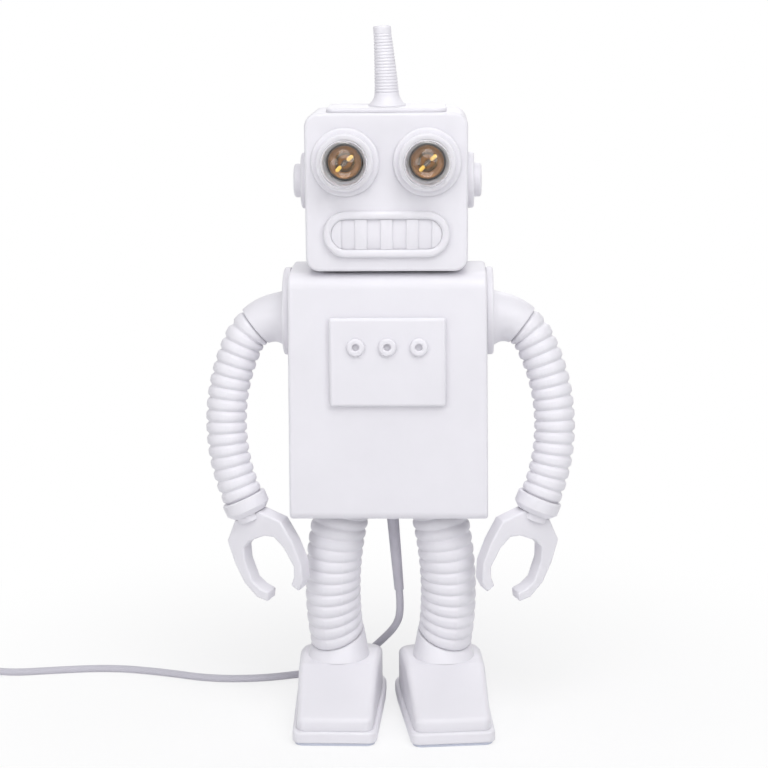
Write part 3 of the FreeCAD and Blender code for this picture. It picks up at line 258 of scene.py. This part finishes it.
def cast_paint(name, color):
    """Satin white paint on a casting: a faint grain, soft blotches and painted shade in the recesses.
    """
    finish = Finish(name, color, 0.5)
    shade = tuple(part * 0.93 for part in color)
    finish.mottle(finish.noise(22, 4), shade, 0.5)
    # Painted shade: an ambient occlusion mask darkens the paint in recesses and between parts.
    recess = finish.nodes.new("ShaderNodeAmbientOcclusion")
    recess.samples = 8
    recess.inputs["Distance"].default_value = 0.004
    painted_recess_shade = combine(finish.nodes, finish.links, "SUBTRACT", 1.0, recess.outputs["AO"])
    finish.mottle(painted_recess_shade, tuple(part * 0.65 for part in color), 0.35)
    finish.rough(finish.noise(60, 3), 0.42, 0.56)
    finish.bump(finish.noise(420, 2), 0.00012, 0.35)
    finish.bump(finish.noise(1500, 2), 0.00004, 0.35)
    return finish.material


def rubber(name, color):
    finish = Finish(name, color, 0.7)
    finish.mottle(finish.noise(90), tuple(part * 0.85 for part in color), 0.6)
    finish.bump(finish.noise(1800), 0.00005, 0.5)
    return finish.material


def moulded_plastic(name, color, roughness=0.42):
    finish = Finish(name, color, roughness)
    finish.mottle(finish.noise(120), tuple(part * 0.9 for part in color), 0.5)
    finish.rough(finish.noise(300), roughness - 0.06, roughness + 0.06)
    finish.bump(finish.noise(2200), 0.00003, 0.4)
    return finish.material


def plated_steel(name, color, roughness):
    finish = Finish(name, color, roughness, metallic=1.0)
    finish.mottle(finish.noise(80), tuple(part * 0.8 for part in color), 0.6)
    finish.rough(finish.noise(240, 3, (1, 1, 14)), roughness - 0.08, roughness + 0.12)
    finish.bump(finish.noise(900, 2, (1, 1, 10)), 0.00003, 0.4)
    return finish.material


def spun_brass(name, color, roughness=0.28):
    finish = Finish(name, color, roughness, metallic=1.0)
    finish.mottle(finish.noise(150), tuple(part * 0.7 for part in color), 0.7)
    finish.rough(finish.noise(400), roughness - 0.06, roughness + 0.12)
    finish.bump(finish.noise(1500), 0.00003, 0.4)
    return finish.material


def clear_glass(name, tint=(1.0, 1.0, 1.0)):
    finish = Finish(name, tint, 0.0, **{"Transmission Weight": 1.0, "IOR": 1.38})
    finish.bump(finish.noise(60, 1), 0.00003, 0.15)
    return finish.material


def phosphor_painted_glow(name, color):
    """The yellow coat of a filament that is switched off, with a row of chips along it, and a faint
    painted glow.
    """
    finish = Finish(name, color, 0.4)
    finish.mottle(finish.noise(900), tuple(part * 0.8 for part in color), 0.6)
    finish.bump(finish.noise(1200), 0.00005, 0.6)
    # Painted glow: a faint emission in the coat's own colour, though the filament is switched off.
    finish.shader.inputs["Emission Color"].default_value = (*color, 1)
    finish.shader.inputs["Emission Strength"].default_value = 0.12
    return finish.material


BRAID_SLANT = 32
BRAID_SCALE = (2400, 14, 1)


def woven_cord(name, color):
    """Braided textile: two crossing diagonals along the cord's own length."""
    finish = Finish(name, color, 0.75)
    along = finish.node("TexCoord").outputs["UV"]
    threads = []
    for slant in (1, -1):
        mapping = finish.node("Mapping", Vector=along)
        mapping.inputs["Rotation"].default_value = (0, 0, slant * math.radians(BRAID_SLANT))
        mapping.inputs["Scale"].default_value = BRAID_SCALE
        wave = finish.node("TexWave", Vector=mapping.outputs["Vector"], Scale=0.5)
        threads.append(wave.outputs["Fac"])
    weave = combine(finish.nodes, finish.links, "MULTIPLY", *threads)
    finish.mottle(weave, tuple(part * 0.78 for part in color), 0.6)
    finish.mottle(finish.noise(1600), tuple(part * 0.8 for part in color), 0.4)
    finish.bump(finish.noise(2600, 2), 0.00012, 0.5)
    finish.shader.inputs["Sheen Weight"].default_value = 0.3
    return finish.material


WHITE = (0.8, 0.787, 0.832)
PALE = (0.76, 0.75, 0.79)

finishes = {
    "paint": cast_paint("cast white paint", WHITE),
    "plate_steel": plated_steel("zinc plate", (0.62, 0.62, 0.64), 0.35),
    "screw_steel": plated_steel("bright screw steel", (0.56, 0.56, 0.58), 0.28),
    "bulb_glass": clear_glass("clear bulb glass"),
    "bulb_cap": spun_brass("bulb cap brass", (0.7, 0.5, 0.22)),
    "amber": spun_brass("amber eye dish", (0.32, 0.14, 0.035), 0.32),
    "filament": phosphor_painted_glow("yellow filament coat, painted glow", (0.92, 0.56, 0.09)),
    "holder": moulded_plastic("dark holder plastic", (0.035, 0.028, 0.028), 0.5),
    "foot_rubber": rubber("pale foot rubber", (0.66, 0.69, 0.8)),
    "cord": woven_cord("woven cord", (0.6, 0.585, 0.65)),
    "white_plastic": moulded_plastic("white plastic", PALE),
    "relief": rubber("strain relief rubber", (0.6, 0.585, 0.65)),
    "wire": moulded_plastic("wire cover", (0.5, 0.3, 0.16)),
    "pins": plated_steel("plug pins", (0.72, 0.68, 0.58), 0.2),
}


SLOTS = {part["node"]: part["material_slot"] for part in frame["record"]["subparts"]}


def coat(piece, slot):
    piece.data.materials.clear()
    piece.data.materials.append(finishes[slot])


def dress_frame():
    """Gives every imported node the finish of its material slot."""
    for node, slot in SLOTS.items():
        coat(frame["nodes"][node], slot)


# Modelling helpers


def only(piece):
    bpy.ops.object.select_all(action="DESELECT")
    piece.select_set(True)
    bpy.context.view_layer.objects.active = piece


def finished(piece, slot, *nodes):
    """Leaves a piece at the origin on the lamp's body, with its slot's finish."""
    only(piece)
    bpy.ops.object.transform_apply(location=True, rotation=True, scale=True)
    bpy.ops.object.mode_set(mode="EDIT")
    bpy.ops.mesh.select_all(action="SELECT")
    bpy.ops.mesh.normals_make_consistent(inside=False)
    bpy.ops.object.mode_set(mode="OBJECT")
    coat(piece, slot)
    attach(piece, "lamp")
    if nodes:
        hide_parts(*nodes)
    return piece


def modify(piece, kind, **settings):
    modifier = piece.modifiers.new(kind.lower(), kind)
    for name, value in settings.items():
        setattr(modifier, name, value)
    only(piece)
    bpy.ops.object.modifier_apply(modifier=modifier.name)


def copied(node):
    """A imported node's own mesh in a new piece, with its loose triangles merged."""
    source = frame["nodes"][node]
    piece = source.copy()
    piece.data = source.data.copy()
    piece.name = f"{node}_cast"
    for key in list(piece.keys()):
        del piece[key]
    piece.parent = None
    scene.collection.objects.link(piece)
    only(piece)
    bpy.ops.object.mode_set(mode="EDIT")
    bpy.ops.mesh.customdata_custom_splitnormals_clear()
    bpy.ops.mesh.select_all(action="SELECT")
    bpy.ops.mesh.remove_doubles(threshold=0.00001)
    return piece


def stand_in(piece, node):
    """Puts a copied piece in its node's place, with the node's finish and body."""
    slot = SLOTS[node]
    coat(piece, slot)
    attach(piece, frame["nodes"][node]["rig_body"])
    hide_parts(node)
    return piece


def rippled(node):
    """A ribbed hose whose straight-sided ribs are worn into smooth waves."""
    piece = copied(node)
    quad_angle = math.radians(70)
    bpy.ops.mesh.tris_convert_to_quads(face_threshold=quad_angle, shape_threshold=quad_angle)
    bpy.ops.object.mode_set(mode="OBJECT")
    modify(piece, "SUBSURF", levels=1, render_levels=1)
    bpy.ops.object.shade_smooth()
    return stand_in(piece, node)


def softened(node, width, segments=2, angle=32):
    """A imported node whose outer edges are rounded."""
    piece = copied(node)
    bpy.ops.mesh.dissolve_limited(angle_limit=math.radians(0.5))
    mesh = bmesh.from_edit_mesh(piece.data)
    weight = mesh.edges.layers.float.new("bevel_weight_edge")
    for edge in mesh.edges:
        if edge.is_manifold and edge.calc_face_angle_signed() > math.radians(angle):
            edge[weight] = 1
    bmesh.update_edit_mesh(piece.data)
    bpy.ops.object.mode_set(mode="OBJECT")
    modify(piece, "BEVEL", width=width, segments=segments, limit_method="WEIGHT")
    bpy.ops.object.shade_smooth_by_angle(angle=math.radians(35))
    return stand_in(piece, node)


# Lights and floor


SKY_STRENGTH = 0.31
FLOOR_SIZE = 40
FLOOR_WHITENESS = 0.7
FADE_START, FADE_END = 0.1, 0.5
LIT_POINT = Vector((0, 0, 0.3))
LIGHTS = (  # name, place, diameter, watts
    ("top", (0.1, -1.1, 2.1), 1.8, 22.5),
    ("right softbox", (0.8, -1.0, 1.1), 0.9, 6),
    ("left softbox", (-0.95, -1.0, 0.75), 0.8, 4),
    ("back", (0.2, 1.6, 1.5), 1.4, 8),
)


def add_lights():
    for name, place, size, power in LIGHTS:
        data = bpy.data.lights.new(name, "AREA")
        data.shape, data.size, data.energy = "DISK", size, power
        light = bpy.data.objects.new(name, data)
        scene.collection.objects.link(light)
        place = Vector(place)
        aim = (LIT_POINT - place).to_track_quat("-Z", "Y").to_matrix().to_4x4()
        light.matrix_world = Matrix.Translation(place) @ aim


def seen_rays(nodes, links):
    """1 for rays that the camera, a gloss or a glass sends."""
    path = nodes.new("ShaderNodeLightPath")
    total = path.outputs["Is Camera Ray"]
    for name in ("Is Glossy Ray", "Is Transmission Ray"):
        total = combine(nodes, links, "MAXIMUM", total, path.outputs[name])
    return total


def add_world():
    world = bpy.data.worlds.new("studio")
    scene.world = world
    world.use_nodes = True
    nodes, links = world.node_tree.nodes, world.node_tree.links
    light, white = nodes["Background"], nodes.new("ShaderNodeBackground")
    light.inputs["Color"].default_value = (0.98, 0.98, 1, 1)
    light.inputs["Strength"].default_value = SKY_STRENGTH
    white.inputs["Color"].default_value = (1, 1, 1, 1)
    white.inputs["Strength"].default_value = 1
    mix = nodes.new("ShaderNodeMixShader")
    links.new(seen_rays(nodes, links), mix.inputs[0])
    links.new(light.outputs[0], mix.inputs[1])
    links.new(white.outputs[0], mix.inputs[2])
    links.new(mix.outputs[0], nodes["World Output"].inputs["Surface"])


def add_floor():
    """A pale floor that fades to plain white away from the lamp."""
    bpy.ops.object.select_all(action="DESELECT")
    bpy.ops.mesh.primitive_plane_add(size=FLOOR_SIZE, location=(0, 0, 0))
    floor = bpy.context.object
    floor.name = "floor"
    floor_paint = Finish("floor", (0.93, 0.93, 0.94), 0.9)
    nodes, links = floor_paint.nodes, floor_paint.links
    mapping = floor_paint.node("Mapping", Vector=floor_paint.place)
    away = floor_paint.node("VectorMath", Vector=mapping.outputs["Vector"])
    away.operation = "LENGTH"
    fade = floor_paint.spread(away.outputs["Value"], FLOOR_WHITENESS, 1, FADE_START, FADE_END)
    fade.node.interpolation_type = "SMOOTHSTEP"
    both = combine(nodes, links, "MULTIPLY", fade, seen_rays(nodes, links))
    white = nodes.new("ShaderNodeEmission")
    white.inputs["Color"].default_value = (1, 1, 1, 1)
    white.inputs["Strength"].default_value = 1
    mix = nodes.new("ShaderNodeMixShader")
    links.new(both, mix.inputs[0])
    links.new(floor_paint.shader.outputs[0], mix.inputs[1])
    links.new(white.outputs[0], mix.inputs[2])
    links.new(mix.outputs[0], nodes["Material Output"].inputs["Surface"])
    floor.data.materials.append(floor_paint.material)


# Bulbs
EYE_X, EYE_Z = 0.02975, 0.4315
BULB_Y, BULB_RADIUS = -0.042, 0.017
NECK_RADIUS, NECK_END = 0.0064, -0.0151
GLASS_WALL = 0.0006
GLOBE_CUT = 0.0152
# Steps from the globe's cut rim to the end of the neck: how far back, and the radius there
NECK_STEPS = ((0.0012, 0.0066), (0.0016, NECK_RADIUS), (None, NECK_RADIUS))


def edit_rim(piece, test):
    """Goes into edit mode with only the vertices selected that pass the test."""
    only(piece)
    bpy.ops.object.mode_set(mode="EDIT")
    bpy.ops.mesh.select_mode(type="VERT")
    mesh = bmesh.from_edit_mesh(piece.data)
    for vertex in mesh.verts:
        vertex.select = test(piece.matrix_world @ vertex.co)
    mesh.select_flush_mode()
    bmesh.update_edit_mesh(piece.data)


def bulb(side, name):
    x = EYE_X * side
    centre = (x, BULB_Y, EYE_Z)
    bpy.ops.object.select_all(action="DESELECT")
    bpy.ops.mesh.primitive_uv_sphere_add(segments=56, ring_count=36, radius=BULB_RADIUS,
                                         location=centre, rotation=(math.pi / 2, 0, 0))
    glass = bpy.context.object
    glass.name = f"{name}_bulb_globe"
    cut = BULB_Y + GLOBE_CUT
    edit_rim(glass, lambda co: co.y > cut)
    bpy.ops.mesh.delete(type="VERT")
    bpy.ops.mesh.select_mode(type="EDGE")
    bpy.ops.mesh.select_non_manifold()
    for depth, radius in NECK_STEPS:
        mesh = bmesh.from_edit_mesh(glass.data)
        rim = [glass.matrix_world @ vertex.co for vertex in mesh.verts if vertex.select]
        now_y = sum(co.y for co in rim) / len(rim)
        now = max(math.hypot(co.x - x, co.z - EYE_Z) for co in rim)
        step = depth if depth else NECK_END - now_y
        bpy.ops.mesh.extrude_region_move(TRANSFORM_OT_translate={"value": (0, step, 0)})
        scale = radius / now
        bpy.ops.transform.resize(value=(scale, 1, scale), center_override=(x, now_y + step, EYE_Z))
    bpy.ops.object.mode_set(mode="OBJECT")
    finished(glass, "bulb_glass", f"{name}_bulb_glass")
    modify(glass, "SOLIDIFY", thickness=GLASS_WALL, offset=-1)
    bpy.ops.object.shade_smooth()


DISH_RADIUS, DISH_Y = 0.0123, -0.0268
DISH_PROFILE = ((0.0118, -0.0269), (0.0112, -0.0263), (0.0092, -0.0258), (0.0073, -0.0256))
DISH_WALL = 0.0004
SHIELD_FRONT, SHIELD_BACK, SHIELD_RADIUS = -0.0224, -0.0218, 0.0054
STEM_TIP, STEM_RADIUS, BAR_RADIUS = -0.0375, 0.0021, 0.0015
FILAMENT, LEAD_WIRE, HOOK_WIRE = 0.0014, 0.00025, 0.0002
WIRE_SPREAD = 0.0008
FILAMENT_ENDS = (((-0.0024, -0.0372, -0.0022), (-0.0052, -0.0425, -0.005)),
                 ((0.0026, -0.0372, 0.0024), (0.0062, -0.0432, 0.0058)))


def tube(name, start, end, radius, slot, rounds=0.5):
    """A round bar between two points, with its ends rounded over."""
    start, end = Vector(start), Vector(end)
    run = end - start
    bpy.ops.object.select_all(action="DESELECT")
    bpy.ops.mesh.primitive_cylinder_add(vertices=24, radius=radius, depth=run.length,
                                        location=(start + end) / 2,
                                        rotation=run.to_track_quat("Z", "Y").to_euler())
    bar = bpy.context.object
    bar.name = name
    modify(bar, "BEVEL", width=radius * rounds, segments=3, limit_method="ANGLE", angle_limit=1.0)
    finished(bar, slot)
    bpy.ops.object.shade_smooth()
    return bar


def bulb_inside(side, name):
    """The glass stem, its wires and two coated filaments that slant out to both sides."""
    centre = Vector((EYE_X * side, 0, EYE_Z))
    stem = tube(f"{name}_bulb_stem", centre + Vector((0, NECK_END, 0)),
                centre + Vector((0, STEM_TIP, 0)), STEM_RADIUS, "bulb_glass", 0.8)
    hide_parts(f"{name}_bulb_filament")
    for index, (foot, tip) in enumerate(FILAMENT_ENDS):
        foot, tip = centre + Vector(foot), centre + Vector(tip)
        tube(f"{name}_filament_{index}", foot, tip, FILAMENT, "filament", 0.9)
        root = centre + Vector((WIRE_SPREAD * (1 if index else -1), NECK_END, 0))
        tube(f"{name}_lead_wire_{index}", root, foot, LEAD_WIRE, "screw_steel")
        tube(f"{name}_hook_wire_{index}", centre + Vector((0, STEM_TIP + 0.001, 0)), tip,
             HOOK_WIRE, "screw_steel")
    bar_ends = [centre + Vector(ends[0]) for ends in FILAMENT_ENDS]
    tube(f"{name}_bulb_bar", *bar_ends, BAR_RADIUS, "bulb_glass", 0.8)
    shield = tube(f"{name}_bulb_shield", centre + Vector((0, SHIELD_BACK, 0)),
                  centre + Vector((0, SHIELD_FRONT, 0)), SHIELD_RADIUS, "bulb_cap", 0.04)
    shield.data.materials[0] = finishes["amber"]
    bpy.ops.object.select_all(action="DESELECT")
    bpy.ops.mesh.primitive_circle_add(vertices=64, radius=DISH_RADIUS, fill_type="NOTHING",
                                      location=(centre.x, DISH_Y, EYE_Z),
                                      rotation=(math.pi / 2, 0, 0))
    dish = bpy.context.object
    dish.name = f"{name}_eye_dish"
    bpy.ops.object.mode_set(mode="EDIT")
    bpy.ops.mesh.select_all(action="SELECT")
    now_radius, now_y = DISH_RADIUS, DISH_Y
    for radius, y in DISH_PROFILE:
        bpy.ops.mesh.extrude_region_move(TRANSFORM_OT_translate={"value": (0, y - now_y, 0)})
        scale = radius / now_radius
        bpy.ops.transform.resize(value=(scale, 1, scale), center_override=(centre.x, y, EYE_Z))
        now_radius, now_y = radius, y
    bpy.ops.object.mode_set(mode="OBJECT")
    finished(dish, "bulb_cap")
    modify(dish, "SOLIDIFY", thickness=DISH_WALL, offset=0)
    dish.data.materials.clear()
    dish.data.materials.append(finishes["amber"])
    bpy.ops.object.shade_smooth_by_angle(angle=math.radians(50))


# Castings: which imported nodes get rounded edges, and the width of each rounding
CASTINGS = {
    "torso_shell": 0.0012, "head_shell": 0.0012, "chest_panel": 0.0012, "chest_buttons": 0.0005,
    "head_lid": 0.0006, "antenna": 0.0003, "mouth_frame": 0.0006, "mouth_grille": 0.0003,
    "foot_pads": 0.0005, "strain_relief": 0.0005, "cord_gland": 0.0005, "plug_body": 0.0006,
    "switch_cover": 0.0004, "switch_base": 0.0004, "switch_rocker": 0.0004,
}
LIMB_CASTINGS = {
    "ankle_collar": 0.001, "claw": 0.0009, "ear": 0.0006, "eye_ring": 0.0005,
    "foot_sole": 0.0008, "foot_upper": 0.0012, "shoulder_plate": 0.0008,
    "upper_arm": 0.0008, "wrist_cuff": 0.0016,
}


def add_castings():
    for node, width in CASTINGS.items():
        softened(node, width)
    for name in SIDES:
        for node, width in LIMB_CASTINGS.items():
            softened(f"{name}_{node}", width, 4)
        rippled(f"{name}_arm_hose")
        rippled(f"{name}_leg_hose")


add_camera()
dress_frame()
add_castings()
cord = add_cord()
cord.data.materials.append(finishes["cord"])
for side_name, side in SIDES.items():
    bulb(side, side_name)
    bulb_inside(side, side_name)
add_floor()
add_lights()
add_world()
